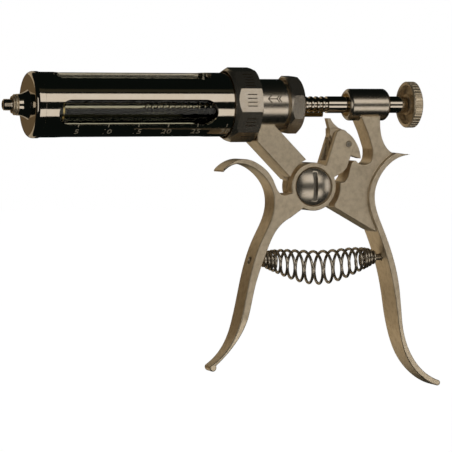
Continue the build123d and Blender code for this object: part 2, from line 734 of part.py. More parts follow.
# ================= Plunger =================
with BuildPart() as piston_rod:
    rod_profile = [(rubber_x, rod_bore_r), (rubber_x, rod_neck_r), (shoulder_x, rod_neck_r), (shoulder_x, rod_r)]
    for ring in range(ring_count):
        groove_x = ring_start + ring * dose_pitch
        slope = (groove_top - groove_floor) / 2
        rod_profile += [
            (groove_x, rod_r), (groove_x + slope, rod_r - groove_depth),
            (groove_x + slope + groove_floor, rod_r - groove_depth), (groove_x + groove_top, rod_r),
        ]
    rod_profile += [(rod_end, rod_r), (rod_end, rod_bore_r)]
    turned(rod_profile)
save(piston_rod, "piston_rod")

with BuildPart() as piston_front_plate:
    tube(piston_x, rubber_x, glass_bore_r - plate_clearance)
save(piston_front_plate, "piston_front_plate")

with BuildPart() as piston_rubber:
    tube(rubber_x, back_plate_x, glass_bore_r - running_gap, rod_neck_r + seat_gap)
save(piston_rubber, "piston_rubber")

with BuildPart() as piston_back_plate:
    tube(back_plate_x, shoulder_x, glass_bore_r - plate_clearance, rod_neck_r + seat_gap)
save(piston_back_plate, "piston_back_plate")

# ================= Knob =================
with BuildPart() as spindle:
    tube(rubber_x + 0.3, knob_end + 1.0, rod_bore_r - running_gap)
save(spindle, "spindle")

with BuildPart() as knob:
    hub_x = rod_end + body_gap
    turned([
        (knob_start + 0.4, knob_r - knob_rim), (knob_start + knob_recess, knob_r - knob_rim - 0.6),
        (knob_start + knob_recess, knob_hub_r), (hub_x, knob_hub_r), (hub_x, rod_bore_r),
        (knob_end, rod_bore_r), (knob_end, knob_r - 1.2), (knob_end - 0.8, knob_r),
        (knob_start + 0.6, knob_r), (knob_start, knob_r - 0.6),
    ])
    with BuildSketch(Plane.YZ.offset(knob_start - 1)):
        with PolarLocations(knob_r + knurl_r * 0.45, knob_knurls):
            Circle(knurl_r)
    extrude(amount=knob_len + 2, mode=Mode.SUBTRACT)
save(knob, "knob")

with BuildPart() as knob_nut:
    turned([
        (knob_end, 0), (knob_end, knob_nut_r), (knob_end + knob_nut_len - 0.6, knob_nut_r),
        (knob_end + knob_nut_len, knob_nut_r - 0.6), (knob_end + knob_nut_len, 0),
    ])
    tube(knob_end, knob_end + 1.1, rod_bore_r, mode=Mode.SUBTRACT)
save(knob_nut, "knob_nut")
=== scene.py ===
import json
import math

import bmesh
import bpy
from bpy.props import FloatProperty, FloatVectorProperty, IntProperty, PointerProperty
from mathutils import Matrix, Vector

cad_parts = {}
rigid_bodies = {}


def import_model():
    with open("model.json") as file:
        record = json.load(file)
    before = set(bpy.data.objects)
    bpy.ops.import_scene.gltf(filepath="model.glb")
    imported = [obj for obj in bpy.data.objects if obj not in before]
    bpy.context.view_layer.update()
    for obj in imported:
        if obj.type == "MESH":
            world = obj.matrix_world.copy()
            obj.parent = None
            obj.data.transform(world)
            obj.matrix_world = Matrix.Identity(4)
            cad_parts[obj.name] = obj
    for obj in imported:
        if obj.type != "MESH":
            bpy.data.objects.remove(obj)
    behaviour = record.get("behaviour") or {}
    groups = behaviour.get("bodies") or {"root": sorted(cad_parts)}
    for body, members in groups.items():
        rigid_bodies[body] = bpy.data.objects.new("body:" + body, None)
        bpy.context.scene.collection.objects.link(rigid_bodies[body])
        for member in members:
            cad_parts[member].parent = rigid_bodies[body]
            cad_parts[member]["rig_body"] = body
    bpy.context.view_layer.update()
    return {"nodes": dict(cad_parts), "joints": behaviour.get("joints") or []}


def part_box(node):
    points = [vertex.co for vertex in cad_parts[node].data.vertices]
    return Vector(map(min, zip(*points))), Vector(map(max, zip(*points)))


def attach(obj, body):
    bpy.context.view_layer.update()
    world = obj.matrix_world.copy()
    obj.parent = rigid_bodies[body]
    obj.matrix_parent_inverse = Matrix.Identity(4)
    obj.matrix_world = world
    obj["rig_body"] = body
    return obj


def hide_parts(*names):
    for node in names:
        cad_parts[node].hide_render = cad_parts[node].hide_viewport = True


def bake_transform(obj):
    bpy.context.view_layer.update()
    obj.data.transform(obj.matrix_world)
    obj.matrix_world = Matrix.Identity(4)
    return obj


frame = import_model()

bl_info = {
    "name": "Repeating Syringe Looks",
    "version": (1, 0, 0),
    "blender": (4, 5, 0),
    "location": "View3D > Sidebar > Syringe",
    "description": "Finishes, engraving, spring and studio for a plier-handled repeating syringe",
    "category": "Object",
}

MM = 0.001

# ---- Places read from the frame, in metres ----
HINGE = Vector(next(j["pos_m"] for j in frame["joints"] if j["name"] == "lever_squeeze"))
CASE_LOW, CASE_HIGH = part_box("barrel_case")
CASE_R = CASE_HIGH.z
RING_LOW, RING_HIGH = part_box("selector_ring")
ROD_LOW, ROD_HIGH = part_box("piston_rod")
ROD_R = ROD_HIGH.z
STUD_FRONT_LOW, STUD_FRONT_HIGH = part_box("spring_stud_front")
STUD_REAR_LOW, STUD_REAR_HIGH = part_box("spring_stud_rear")
WASHER_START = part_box("connector_washer")[0].x
WASHER_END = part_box("connector_washer")[1].x
CONNECTOR_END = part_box("needle_connector")[1].x
CAP_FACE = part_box("front_cap")[0].x
SLEEVE_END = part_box("rear_nut")[0].x

# ---- Values that several sections share ----
RING_PITCH = 2.8 * MM          # one ring of the rod, one millilitre
CUT_DEPTH = 0.25 * MM          # of an engraved mark
CUT_PROUD = 0.03 * MM          # how far a mark stands above its surface
STROKE_CUTS = 6                # lengths that a stroke is cut into
MARK_RELIEF = 0.05 * MM        # bump height of the polishing marks
GLASS_IOR = 1.3                # below real glass, for weaker reflections
WELD = 2e-6                    # vertices closer than this are joined
SLIVER = 1e-6                  # edges shorter than this are dissolved
FLAT_ANGLE = math.radians(0.5)
SHARP_ANGLE = math.radians(28.0)


# ================= Settings =================
class FinishSettings(bpy.types.PropertyGroup):
    """Colours and roughness of the metals, glass and rubber."""

    nickel_colour: FloatVectorProperty(
        name="Nickel", description="Colour of the polished nickel plate",
        subtype="COLOR", size=3, min=0, max=1, default=(0.60, 0.54, 0.46))
    satin_colour: FloatVectorProperty(
        name="Satin Nickel", description="Colour of the plate on the castings",
        subtype="COLOR", size=3, min=0, max=1, default=(0.90, 0.77, 0.58))
    tarnish_colour: FloatVectorProperty(
        name="Tarnish", description="Colour where the plate has dulled towards the brass",
        subtype="COLOR", size=3, min=0, max=1, default=(0.46, 0.36, 0.22))
    brass_colour: FloatVectorProperty(
        name="Brass", description="Colour of the machined brass pieces",
        subtype="COLOR", size=3, min=0, max=1, default=(0.62, 0.45, 0.20))
    steel_colour: FloatVectorProperty(
        name="Steel", description="Colour of the drawn steel wire and pins",
        subtype="COLOR", size=3, min=0, max=1, default=(0.56, 0.51, 0.43))
    glass_colour: FloatVectorProperty(
        name="Glass", description="Faint green of the thick barrel glass",
        subtype="COLOR", size=3, min=0, max=1, default=(0.76, 0.79, 0.74))
    polish_roughness: FloatProperty(
        name="Polish", description="Roughness of the polished plate",
        subtype="FACTOR", min=0, max=1, default=0.075)
    satin_roughness: FloatProperty(
        name="Satin", description="Roughness of the satin castings",
        subtype="FACTOR", min=0, max=1, default=0.42)


class MarkSettings(bpy.types.PropertyGroup):
    """The barrel's scale, the tally strokes and the index arrow."""

    numeral_height: FloatProperty(
        name="Numeral Height", description="Height of the scale's numerals round the barrel",
        unit="LENGTH", default=3.6 * MM)
    numeral_angle: FloatProperty(
        name="Numeral Angle", description="How far below level the numerals stand",
        subtype="ANGLE", default=math.radians(56))
    tick_angle: FloatProperty(
        name="Tick Angle", description="How far below level the ticks start",
        subtype="ANGLE", default=math.radians(43))
    numeral_count: IntProperty(
        name="Numerals", description="Numbered marks, one for each five millilitres", default=6)
    cut_width: FloatProperty(
        name="Cut Width", description="Width of an engraved stroke",
        unit="LENGTH", default=0.42 * MM)


class SpringSettings(bpy.types.PropertyGroup):
    """The barrel-shaped spring between the handles."""

    wire_radius: FloatProperty(
        name="Wire Radius", description="Radius of the drawn wire", unit="LENGTH", default=0.66 * MM)
    belly_radius: FloatProperty(
        name="Belly Radius", description="Coil radius at mid length", unit="LENGTH", default=7.5 * MM)
    end_radius: FloatProperty(
        name="End Radius", description="Coil radius on the studs", unit="LENGTH", default=3.15 * MM)
    sag: FloatProperty(
        name="Sag", description="How far the middle of the spring bows down", unit="LENGTH",
        default=4.1 * MM)
    open_turns: FloatProperty(
        name="Open Turns", description="Turns between the two close-wound ends", default=11.0)
    close_turns: FloatProperty(
        name="Close Turns", description="Close-wound turns on each stud", default=3.0)


class StageSettings(bpy.types.PropertyGroup):
    """Camera, soft boxes and surroundings."""

    camera_place: FloatVectorProperty(
        name="Camera", description="Where the camera stands", subtype="XYZ", unit="LENGTH",
        default=(-0.2785, -0.9737, 0.0))
    camera_target: FloatVectorProperty(
        name="Target", description="What the camera looks at", subtype="XYZ", unit="LENGTH",
        default=(0.10505, 0.0, -0.0552))
    lens: FloatProperty(
        name="Lens", description="Focal length in millimetres on a 36 mm sensor", default=183.2)
    box_distance: FloatProperty(
        name="Box Distance", description="From the barrel to the soft boxes", unit="LENGTH",
        default=1.0)
    box_radiance: FloatProperty(
        name="Box Brightness", description="Radiance of the main soft boxes", default=1.0)
    floor_drop: FloatProperty(
        name="Floor Drop", description="How far below the barrel the floor lies", unit="LENGTH",
        default=0.6)


# ================= Shader groups =================
def socket_group(name, inputs, outputs):
    """A new shader group with named sockets, and its input and output nodes."""
    group = bpy.data.node_groups.new(name, "ShaderNodeTree")
    for label, kind, value in inputs:
        made = group.interface.new_socket(label, in_out="INPUT", socket_type=kind)
        if value is not None:
            made.default_value = value
    for label, kind in outputs:
        group.interface.new_socket(label, in_out="OUTPUT", socket_type=kind)
    return group, group.nodes.new("NodeGroupInput"), group.nodes.new("NodeGroupOutput")


def polish_group():
    """Roughness and height of fine, mostly lengthwise polishing marks."""
    group, source, result = socket_group(
        "Polishing Marks",
        [("Vector", "NodeSocketVector", None), ("Scale", "NodeSocketFloat", 900.0),
         ("Roughness", "NodeSocketFloat", 0.1), ("Variation", "NodeSocketFloat", 0.05)],
        [("Roughness", "NodeSocketFloat"), ("Height", "NodeSocketFloat")])
    nodes, links = group.nodes, group.links
    stretch = nodes.new("ShaderNodeMapping")
    stretch.inputs["Scale"].default_value = (0.18, 1.0, 1.0)
    links.new(source.outputs["Vector"], stretch.inputs["Vector"])
    fine = nodes.new("ShaderNodeTexNoise")
    fine.inputs["Detail"].default_value = 4.0
    links.new(stretch.outputs["Vector"], fine.inputs["Vector"])
    links.new(source.outputs["Scale"], fine.inputs["Scale"])
    broad = nodes.new("ShaderNodeTexNoise")
    broad.inputs["Scale"].default_value = 60.0
    links.new(source.outputs["Vector"], broad.inputs["Vector"])
    both = nodes.new("ShaderNodeMath")
    both.operation = "ADD"
    links.new(fine.outputs["Fac"], both.inputs[0])
    links.new(broad.outputs["Fac"], both.inputs[1])
    centred = nodes.new("ShaderNodeMath")
    centred.operation = "SUBTRACT"
    centred.inputs[1].default_value = 1.0
    links.new(both.outputs[0], centred.inputs[0])
    spread = nodes.new("ShaderNodeMath")
    spread.operation = "MULTIPLY_ADD"
    links.new(centred.outputs[0], spread.inputs[0])
    links.new(source.outputs["Variation"], spread.inputs[1])
    links.new(source.outputs["Roughness"], spread.inputs[2])
    links.new(spread.outputs[0], result.inputs["Roughness"])
    links.new(fine.outputs["Fac"], result.inputs["Height"])
    return group


def tarnish_group():
    """Colour of plate that has dulled in cloudy patches and fine specks."""
    group, source, result = socket_group(
        "Tarnish",
        [("Vector", "NodeSocketVector", None), ("Plate", "NodeSocketColor", None),
         ("Tarnish", "NodeSocketColor", None), ("Scale", "NodeSocketFloat", 120.0),
         ("Amount", "NodeSocketFloat", 0.3)],
        [("Color", "NodeSocketColor"), ("Mask", "NodeSocketFloat")])
    nodes, links = group.nodes, group.links
    cloud = nodes.new("ShaderNodeTexNoise")
    cloud.inputs["Detail"].default_value = 6.0
    cloud.inputs["Roughness"].default_value = 0.62
    links.new(source.outputs["Vector"], cloud.inputs["Vector"])
    links.new(source.outputs["Scale"], cloud.inputs["Scale"])
    shape = nodes.new("ShaderNodeMapRange")
    shape.inputs["From Min"].default_value = 0.42
    shape.inputs["From Max"].default_value = 0.72
    links.new(cloud.outputs["Fac"], shape.inputs["Value"])
    amount = nodes.new("ShaderNodeMath")
    amount.operation = "MULTIPLY"
    links.new(shape.outputs["Result"], amount.inputs[0])
    links.new(source.outputs["Amount"], amount.inputs[1])
    mixed = nodes.new("ShaderNodeMix")
    mixed.data_type = "RGBA"
    links.new(amount.outputs[0], mixed.inputs["Factor"])
    links.new(source.outputs["Plate"], mixed.inputs["A"])
    links.new(source.outputs["Tarnish"], mixed.inputs["B"])
    links.new(mixed.outputs["Result"], result.inputs["Color"])
    links.new(amount.outputs[0], result.inputs["Mask"])
    return group


# ================= Materials =================
def shared_group(name, build):
    """The shader group of that name, made the first time it is asked for."""
    return bpy.data.node_groups.get(name) or build()


def new_material(name):
    """A material with its node tree, its shader and the Object coordinates that it reads."""
    made = bpy.data.materials.new(name)
    made.use_nodes = True
    tree = made.node_tree
    place = tree.nodes.new("ShaderNodeTexCoord").outputs["Object"]
    return made, tree, tree.nodes["Principled BSDF"], place


def group_node(tree, place, name, build, **values):
    """A shared shader group, placed in a material with that material's own values."""
    node = tree.nodes.new("ShaderNodeGroup")
    node.node_tree = shared_group(name, build)
    for socket, value in values.items():
        node.inputs[socket].default_value = value
    tree.links.new(place, node.inputs["Vector"])
    return node


def clouded_colour(tree, place, shader, plate, tarnish, **values):
    """Plate that dulls in patches, wired to the shader's colour."""
    node = group_node(tree, place, "Tarnish", tarnish_group,
                      Plate=(*plate, 1.0), Tarnish=(*tarnish, 1.0), **values)
    tree.links.new(node.outputs["Color"], shader.inputs["Base Color"])


def marked_surface(tree, place, shader, **values):
    """Polishing marks, wired to the shader's roughness."""
    node = group_node(tree, place, "Polishing Marks", polish_group, **values)
    tree.links.new(node.outputs["Roughness"], shader.inputs["Roughness"])
    return node


def metal(name, plate, tarnish, roughness, variation, amount, grain_scale, bump,
          cloud_scale=120.0, metallic=1.0):
    """A metal with tarnish in its colour and polishing marks in its roughness and relief."""
    made = bpy.data.materials.get(name)
    if made:
        return made
    made, tree, shader, place = new_material(name)
    shader.inputs["Metallic"].default_value = metallic
    clouded_colour(tree, place, shader, plate, tarnish, Scale=cloud_scale, Amount=amount)
    marks = marked_surface(
        tree, place, shader, Scale=grain_scale, Roughness=roughness, Variation=variation)
    relief = tree.nodes.new("ShaderNodeBump")
    relief.inputs["Strength"].default_value = bump
    relief.inputs["Distance"].default_value = MARK_RELIEF
    tree.links.new(marks.outputs["Height"], relief.inputs["Height"])
    tree.links.new(relief.outputs["Normal"], shader.inputs["Normal"])
    return made


def finishes():
    """The scene's finish settings."""
    return bpy.context.scene.syringe_finish


def polished_nickel():
    """Bright plate on the barrel, the needle end, the rod and the knob's nut."""
    look = finishes()
    return metal(
        "bright_plate", look.nickel_colour, look.tarnish_colour, roughness=look.polish_roughness,
        variation=0.05, amount=0.22, grain_scale=1500.0, bump=0.03)


def satin_nickel():
    """Plate on the rough cast frame, lever and pawl, and on the knob."""
    look = finishes()
    return metal(
        "cast_plate", look.satin_colour, look.tarnish_colour, roughness=look.satin_roughness,
        variation=0.2, amount=0.45, grain_scale=1800.0, bump=0.35, cloud_scale=380.0, metallic=0.8)


def brushed_nickel():
    """Plate on the dose ring, the rear nut and the hinge screw, rubbed duller than the barrel."""
    look = finishes()
    return metal(
        "rubbed_plate", look.nickel_colour, look.tarnish_colour,
        roughness=look.satin_roughness * 0.62, variation=0.04, amount=0.3, grain_scale=900.0,
        bump=0.015, cloud_scale=260.0, metallic=0.92)


def turned_plate():
    """Plate on the frame's turned sleeve and rod guide, a little duller than the barrel."""
    look = finishes()
    return metal(
        "turned_plate", look.nickel_colour, look.tarnish_colour,
        roughness=look.polish_roughness * 3.4, variation=0.06, amount=0.3, grain_scale=1500.0,
        bump=0.05)


def drawn_steel():
    """Steel of the springs, the studs and the pins."""
    look = finishes()
    return metal(
        "bright_wire", look.steel_colour, look.tarnish_colour, roughness=0.27, variation=0.1,
        amount=0.35, grain_scale=2200.0, bump=0.06, metallic=0.9)


def machined_brass():
    """Bare brass of the dose stop, its sleeve, the bushes and the piston plates."""
    look = finishes()
    return metal(
        "turned_brass", look.brass_colour, look.tarnish_colour, roughness=0.22, variation=0.1,
        amount=0.4, grain_scale=1600.0, bump=0.08)


def shade_painted_mark():
    """The floor of an engraved cut, coloured dark as painted shade for the shadow inside the cut."""
    # Both colours are painted shade: the darkness of a shadowed cut, laid into the cut's colour.
    return metal(
        "painted_shade_cut", (0.10, 0.075, 0.05), (0.04, 0.03, 0.02), roughness=0.6, variation=0.15,
        amount=0.8, grain_scale=2500.0, bump=0.2)


def bright_cut():
    """The freshly cut, matt floor of the barrel's scale marks."""
    return metal(
        "pale_cut", (0.80, 0.72, 0.56), (0.45, 0.36, 0.24), roughness=0.42, variation=0.2,
        amount=0.5, grain_scale=2500.0, bump=0.2, metallic=0.25)


def barrel_glass():
    """Thick, faintly green glass with barely marked walls."""
    made = bpy.data.materials.get("thick_glass")
    if made:
        return made
    made, tree, shader, place = new_material("thick_glass")
    shader.inputs["Base Color"].default_value = (*finishes().glass_colour, 1.0)
    shader.inputs["Metallic"].default_value = 0.0
    shader.inputs["Transmission Weight"].default_value = 1.0
    shader.inputs["IOR"].default_value = GLASS_IOR
    marked_surface(tree, place, shader, Scale=500.0, Roughness=0.004, Variation=0.004)
    return made


def seal_rubber():
    """Black rubber, greyed in patches."""
    made = bpy.data.materials.get("black_rubber")
    if made:
        return made
    made, tree, shader, place = new_material("black_rubber")
    clouded_colour(
        tree, place, shader, (0.018, 0.017, 0.016), (0.05, 0.047, 0.043), Scale=300.0)
    marked_surface(tree, place, shader, Roughness=0.55, Variation=0.15)
    return made


# ================= Mesh helpers =================
def soften(mesh, angle=35.0):
    """Shade smooth, with edges sharper than angle, in degrees, left crisp."""
    mesh.shade_smooth()
    mesh.set_sharp_from_angle(angle=math.radians(angle))


def make_piece(bm, name, material, body, replaced=()):
    """Turn a bmesh into a finished piece that rides on a body."""
    mesh = bpy.data.meshes.new(name)
    bm.to_mesh(mesh)
    bm.free()
    mesh.materials.append(material)
    soften(mesh)
    piece = bpy.data.objects.new(name, mesh)
    bpy.context.scene.collection.objects.link(piece)
    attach(piece, body)
    if replaced:
        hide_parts(*replaced)
    return piece


def edged_copy(node, name, material, width, segments=2, clamp=True):
    """A copy of a CAD node with its triangles joined up and its sharp edges rounded by width."""
    source = frame["nodes"][node]
    bm = bmesh.new()
    bm.from_mesh(source.data)
    bmesh.ops.remove_doubles(bm, verts=bm.verts, dist=WELD)
    bmesh.ops.dissolve_degenerate(bm, edges=bm.edges, dist=SLIVER)
    bmesh.ops.dissolve_limit(bm, angle_limit=FLAT_ANGLE, verts=bm.verts, edges=bm.edges)
    edges = [e for e in bm.edges if e.is_manifold and e.calc_face_angle(0.0) > SHARP_ANGLE]
    bmesh.ops.bevel(
        bm, geom=edges, offset=width, offset_type="OFFSET", segments=segments, profile=0.5,
        affect="EDGES", clamp_overlap=clamp, material=-1)
    piece = make_piece(bm, name, material, source["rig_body"], (node,))
    weighted = piece.modifiers.new("Even Flats", "WEIGHTED_NORMAL")
    weighted.keep_sharp = True
    return piece


def lathe(profile, steps=96):
    """A bmesh turned about the barrel axis from closed (x, radius) corners in metres."""
    bm = bmesh.new()
    verts = [bm.verts.new((x, -r, 0.0)) for x, r in profile]
    edges = [bm.edges.new((a, b)) for a, b in zip(verts, verts[1:] + verts[:1])]
    bmesh.ops.spin(
        bm, geom=verts + edges, cent=(0, 0, 0), axis=(1, 0, 0), angle=2 * math.pi,
        steps=steps, use_merge=True)
    bmesh.ops.remove_doubles(bm, verts=bm.verts, dist=1e-7)
    bmesh.ops.recalc_face_normals(bm, faces=bm.faces)
    return bm


def carried(node, material):
    """Keep a CAD node's shape, with a better material and smooth shading."""
    mesh = frame["nodes"][node].data
    mesh.materials.clear()
    mesh.materials.append(material)
    soften(mesh, 30.0)


def join_into(whole, part):
    """Add one bmesh to another and free it."""
    spare = bpy.data.meshes.new("spare")
    part.to_mesh(spare)
    part.free()
    whole.from_mesh(spare)
    bpy.data.meshes.remove(spare)


def stroke(bm, start, end, width):
    """A straight flat bar from start to end, cut across so that it can follow a curve."""
    start, end = Vector(start), Vector(end)
    along = (end - start).normalized()
    length = (end - start).length
    made = bmesh.ops.create_grid(bm, x_segments=STROKE_CUTS, y_segments=2, size=0.5)
    turn = Matrix.Rotation(math.atan2(along.y, along.x), 4, "Z")
    middle = (start + end) / 2
    place = Matrix.Translation((middle.x, middle.y, 0)) @ turn @ Matrix.Diagonal((length, width, 1, 1))
    bmesh.ops.transform(bm, matrix=place, verts=made["verts"])


def engrave(bm):
    """Give flat marks their depth, from a hair above the surface down into it."""
    bmesh.ops.recalc_face_normals(bm, faces=bm.faces)
    for face in bm.faces:
        if face.normal.z < 0:
            face.normal_flip()
    grown = bmesh.ops.extrude_face_region(bm, geom=bm.faces[:])
    upper = {g for g in grown["geom"] if isinstance(g, bmesh.types.BMVert)}
    for vert in bm.verts:
        if vert not in upper:
            vert.co.z -= CUT_DEPTH
    bmesh.ops.recalc_face_normals(bm, faces=bm.faces)
    bmesh.ops.translate(bm, verts=bm.verts, vec=(0, 0, CUT_PROUD))


def wrap(bm, radius, angle, along):
    """Lay flat marks round the barrel: X runs along it, Y up round it, Z out of it."""
    for vert in bm.verts:
        x, y, z = vert.co
        turn = angle + y / radius
        out = radius + z
        vert.co = (along + x, -out * math.cos(turn), out * math.sin(turn))


# ================= Needle end =================
SPIGOT_R = 2.6 * MM
SPIGOT_NOSE_R = 1.9 * MM
THREAD_ROOT_R = 2.36 * MM
THREAD_PITCH = 0.55 * MM
THREAD_SHARE = 0.65            # of the way to the washer
CONNECTOR_BORE_R = 0.8 * MM
FLANGE_R = 4.65 * MM
FLANGE_LIP_R = FLANGE_R + 0.1 * MM
FLANGE_GROOVE_R = FLANGE_R - 0.3 * MM
FLARE = 1.85 * MM              # from the lip out to the cap's face
TAIL_R = 4.0 * MM
CONE_START = WASHER_END + 1.5 * MM
CONE_STEPS = 8


def connector_profile():
    """Half the connector's outline: threaded spigot, grooved flange, flared base and tail."""
    profile = [(0.0, CONNECTOR_BORE_R), (0.0, SPIGOT_NOSE_R), (0.35 * MM, THREAD_ROOT_R)]
    x = 0.6 * MM
    while x < WASHER_START * THREAD_SHARE + THREAD_PITCH:
        profile += [(x, SPIGOT_R), (x + THREAD_PITCH * 0.5, THREAD_ROOT_R)]
        x += THREAD_PITCH
    profile += [(x, SPIGOT_R), (WASHER_END, SPIGOT_R)]
    flange = (
        (0.0, FLANGE_R - 0.25 * MM), (0.2, FLANGE_R), (0.75, FLANGE_R), (0.9, FLANGE_GROOVE_R),
        (1.1, FLANGE_GROOVE_R), (1.3, FLANGE_LIP_R))
    profile += [(WASHER_END + step * MM, radius) for step, radius in flange]
    for i in range(CONE_STEPS + 1):
        share = i / CONE_STEPS
        x = CONE_START + (CAP_FACE - CONE_START) * share
        profile.append((x, FLANGE_LIP_R + FLARE * share * share))
    profile += [(CAP_FACE, TAIL_R), (CONNECTOR_END, TAIL_R), (CONNECTOR_END, CONNECTOR_BORE_R)]
    return profile


class SYRINGE_OT_needle_end(bpy.types.Operator):
    """Turn the threaded needle connector and finish the washer, the front cap and the seals"""

    bl_idname = "syringe.needle_end"
    bl_label = "Needle End"

    def execute(self, context):
        look = polished_nickel()
        connector = make_piece(lathe(connector_profile(), 64), "threaded_connector", look, "frame",
                               ("needle_connector",))
        connector.data.materials.append(satin_nickel())
        for face in connector.data.polygons:
            if WASHER_END - 0.1 * MM < face.center.x < CONE_START:
                face.material_index = 1
        edged_copy("connector_washer", "spigot_washer", satin_nickel(), 0.15 * MM)
        edged_copy("front_cap", "domed_cap", look, 0.18 * MM)
        for node in ("front_seal", "rear_seal"):
            carried(node, seal_rubber())
        return {"FINISHED"}


# ================= Barrel =================
GLASS_BORE_R = 10.65 * MM
GLASS_BEVEL = 0.2 * MM
FIRST_MARK = 15.5 * MM         # from the barrel's front end
MARK_STEP = 5                  # millilitres between numerals, and rings of the rod
MARK_SPACING = MARK_STEP * RING_PITCH
TICK_LENGTH = 1.6 * MM
FONT_SCALE = 1.35              # font size for a numeral of height one


def flat_numeral(text, height):
    """A numeral as a flat bmesh, centred on the origin."""
    font = bpy.data.curves.new("numeral", "FONT")
    font.body = text
    font.size = height * FONT_SCALE
    font.align_x = "CENTER"
    font.align_y = "CENTER"
    font.resolution_u = 3
    holder = bpy.data.objects.new("numeral", font)
    bpy.context.scene.collection.objects.link(holder)
    bpy.context.view_layer.update()
    flat = bpy.data.meshes.new_from_object(holder)
    bm = bmesh.new()
    bm.from_mesh(flat)
    bmesh.ops.triangulate(bm, faces=bm.faces)
    bpy.data.objects.remove(holder)
    bpy.data.curves.remove(font)
    bpy.data.meshes.remove(flat)
    return bm


def scale_marks(marks):
    """Numerals for each five millilitres, with a tick above each, laid on the barrel."""
    scale = bmesh.new()
    places = [CASE_LOW.x + FIRST_MARK + i * MARK_SPACING for i in range(marks.numeral_count)]
    for i, x in enumerate(places):
        part = flat_numeral(str((i + 1) * MARK_STEP), marks.numeral_height)
        engrave(part)
        wrap(part, CASE_R, -marks.numeral_angle, x)
        join_into(scale, part)
    ticks = bmesh.new()
    for x in places:
        stroke(ticks, (x, 0), (x, TICK_LENGTH), marks.cut_width)
    engrave(ticks)
    wrap(ticks, CASE_R, -marks.tick_angle, 0.0)
    join_into(scale, ticks)
    return scale


class SYRINGE_OT_barrel(bpy.types.Operator):
    """Finish the windowed barrel, its glass and its scale"""

    bl_idname = "syringe.barrel"
    bl_label = "Barrel"

    def execute(self, context):
        edged_copy("barrel_case", "windowed_barrel", polished_nickel(), 0.32 * MM, 4)
        low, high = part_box("glass_cylinder")
        wall = [
            (low.x, GLASS_BORE_R), (low.x, high.z - GLASS_BEVEL), (low.x + GLASS_BEVEL, high.z),
            (high.x - GLASS_BEVEL, high.z), (high.x, high.z - GLASS_BEVEL), (high.x, GLASS_BORE_R)]
        make_piece(lathe(wall, 128), "glass_tube", barrel_glass(), "frame", ("glass_cylinder",))
        make_piece(scale_marks(context.scene.syringe_marks), "barrel_scale", bright_cut(), "frame")
        return {"FINISHED"}


# ================= Frame =================
SLEEVE_R = 11.7 * MM           # turned sleeve behind the dose ring
GUIDE_R = 7.45 * MM            # turned rod guide at the rear
TURNED_MARGIN = 0.05 * MM
INDEX_ANGLE = math.radians(13)
INDEX_SHIFT = 0.6 * MM


def index_arrow(width):
    """A small fletched arrow on the frame sleeve that points at the dose on the ring."""
    tip = (-2.9 * MM, 0)
    bm = bmesh.new()
    stroke(bm, tip, (1.6 * MM, 0), width)
    for side in (-1, 1):
        stroke(bm, tip, (-1.1 * MM, side * 1.7 * MM), width)
        for feather in (1.4 * MM, 2.5 * MM):
            stroke(bm, (feather, 0), (feather + 1.2 * MM, side * 1.5 * MM), width)
    engrave(bm)
    return bm


def plate_turned_faces(cast):
    """Give the frame's sleeve and rod guide, which are turned and not cast, their own finish."""
    cast.data.materials.append(turned_plate())
    for face in cast.data.polygons:
        on_sleeve = face.center.x < SLEEVE_END
        turned_r = SLEEVE_R if on_sleeve else GUIDE_R
        out = math.hypot(face.center.y, face.center.z)
        if (on_sleeve or face.center.x > HINGE.x) and out < turned_r + TURNED_MARGIN:
            face.material_index = 1


class SYRINGE_OT_frame(bpy.types.Operator):
    """Finish the cast frame, the rear nut, the hinge screw and what sits inside"""

    bl_idname = "syringe.frame"
    bl_label = "Frame"

    def execute(self, context):
        cast = edged_copy("grip_frame", "cast_frame", satin_nickel(), 0.5 * MM, 3,
                          clamp=False)
        plate_turned_faces(cast)
        edged_copy("rear_nut", "octagon_nut", brushed_nickel(), 0.45 * MM, 3)
        edged_copy("hinge_screw", "slotted_screw", brushed_nickel(), 0.2 * MM)
        edged_copy("hinge_nut", "hexagon_nut", satin_nickel(), 0.3 * MM)
        edged_copy("spring_stud_rear", "rear_stud", drawn_steel(), 0.2 * MM)
        arrow = index_arrow(context.scene.syringe_marks.cut_width)
        wrap(arrow, SLEEVE_R, INDEX_ANGLE, (RING_HIGH.x + SLEEVE_END) / 2 - INDEX_SHIFT)
        # The arrow's cuts carry painted shade in their colour.
        make_piece(arrow, "index_arrow", shade_painted_mark(), "frame")
        for node in ("rod_bush", "guide_bush"):
            carried(node, machined_brass())
        carried("nut_washer", seal_rubber())
        for node in ("detent_ball", "detent_spring", "hinge_washer"):
            carried(node, drawn_steel())
        return {"FINISHED"}


# ================= Selector =================
FACETS = 10
FACET_STEP = 2 * math.pi / FACETS
NEAR_FACET = math.radians(7)   # how far the near facet's middle stands above level
RING_RISE = 2.65 * MM          # of the ring's corners above the barrel
DOSES = 5
REST_DOSE = 4
TALLY_SPACING = 1.75 * MM
TALLY_HALF_LENGTH = 2.3 * MM
TALLY_SHIFT = 1.2 * MM         # from the ring's middle towards the index


def tally_marks(cut_width):
    """One to five strokes on five of the ring's ten facets."""
    bm = bmesh.new()
    facet_r = (CASE_R + RING_RISE) * math.cos(math.pi / FACETS)
    middle = (RING_LOW.x + RING_HIGH.x) / 2 + TALLY_SHIFT
    for dose in range(1, DOSES + 1):
        part = bmesh.new()
        for i in range(dose):
            y = (i - (dose - 1) / 2) * TALLY_SPACING
            stroke(part, (-TALLY_HALF_LENGTH, y), (TALLY_HALF_LENGTH, y), cut_width)
        engrave(part)
        turn = NEAR_FACET + (dose - REST_DOSE) * FACET_STEP
        stand = Matrix.Translation((middle, 0, 0)) @ Matrix.Rotation(-turn, 4, "X")
        stand = stand @ Matrix.Translation((0, -facet_r, 0)) @ Matrix.Rotation(math.pi / 2, 4, "X")
        bmesh.ops.transform(part, matrix=stand, verts=part.verts)
        join_into(bm, part)
    return bm


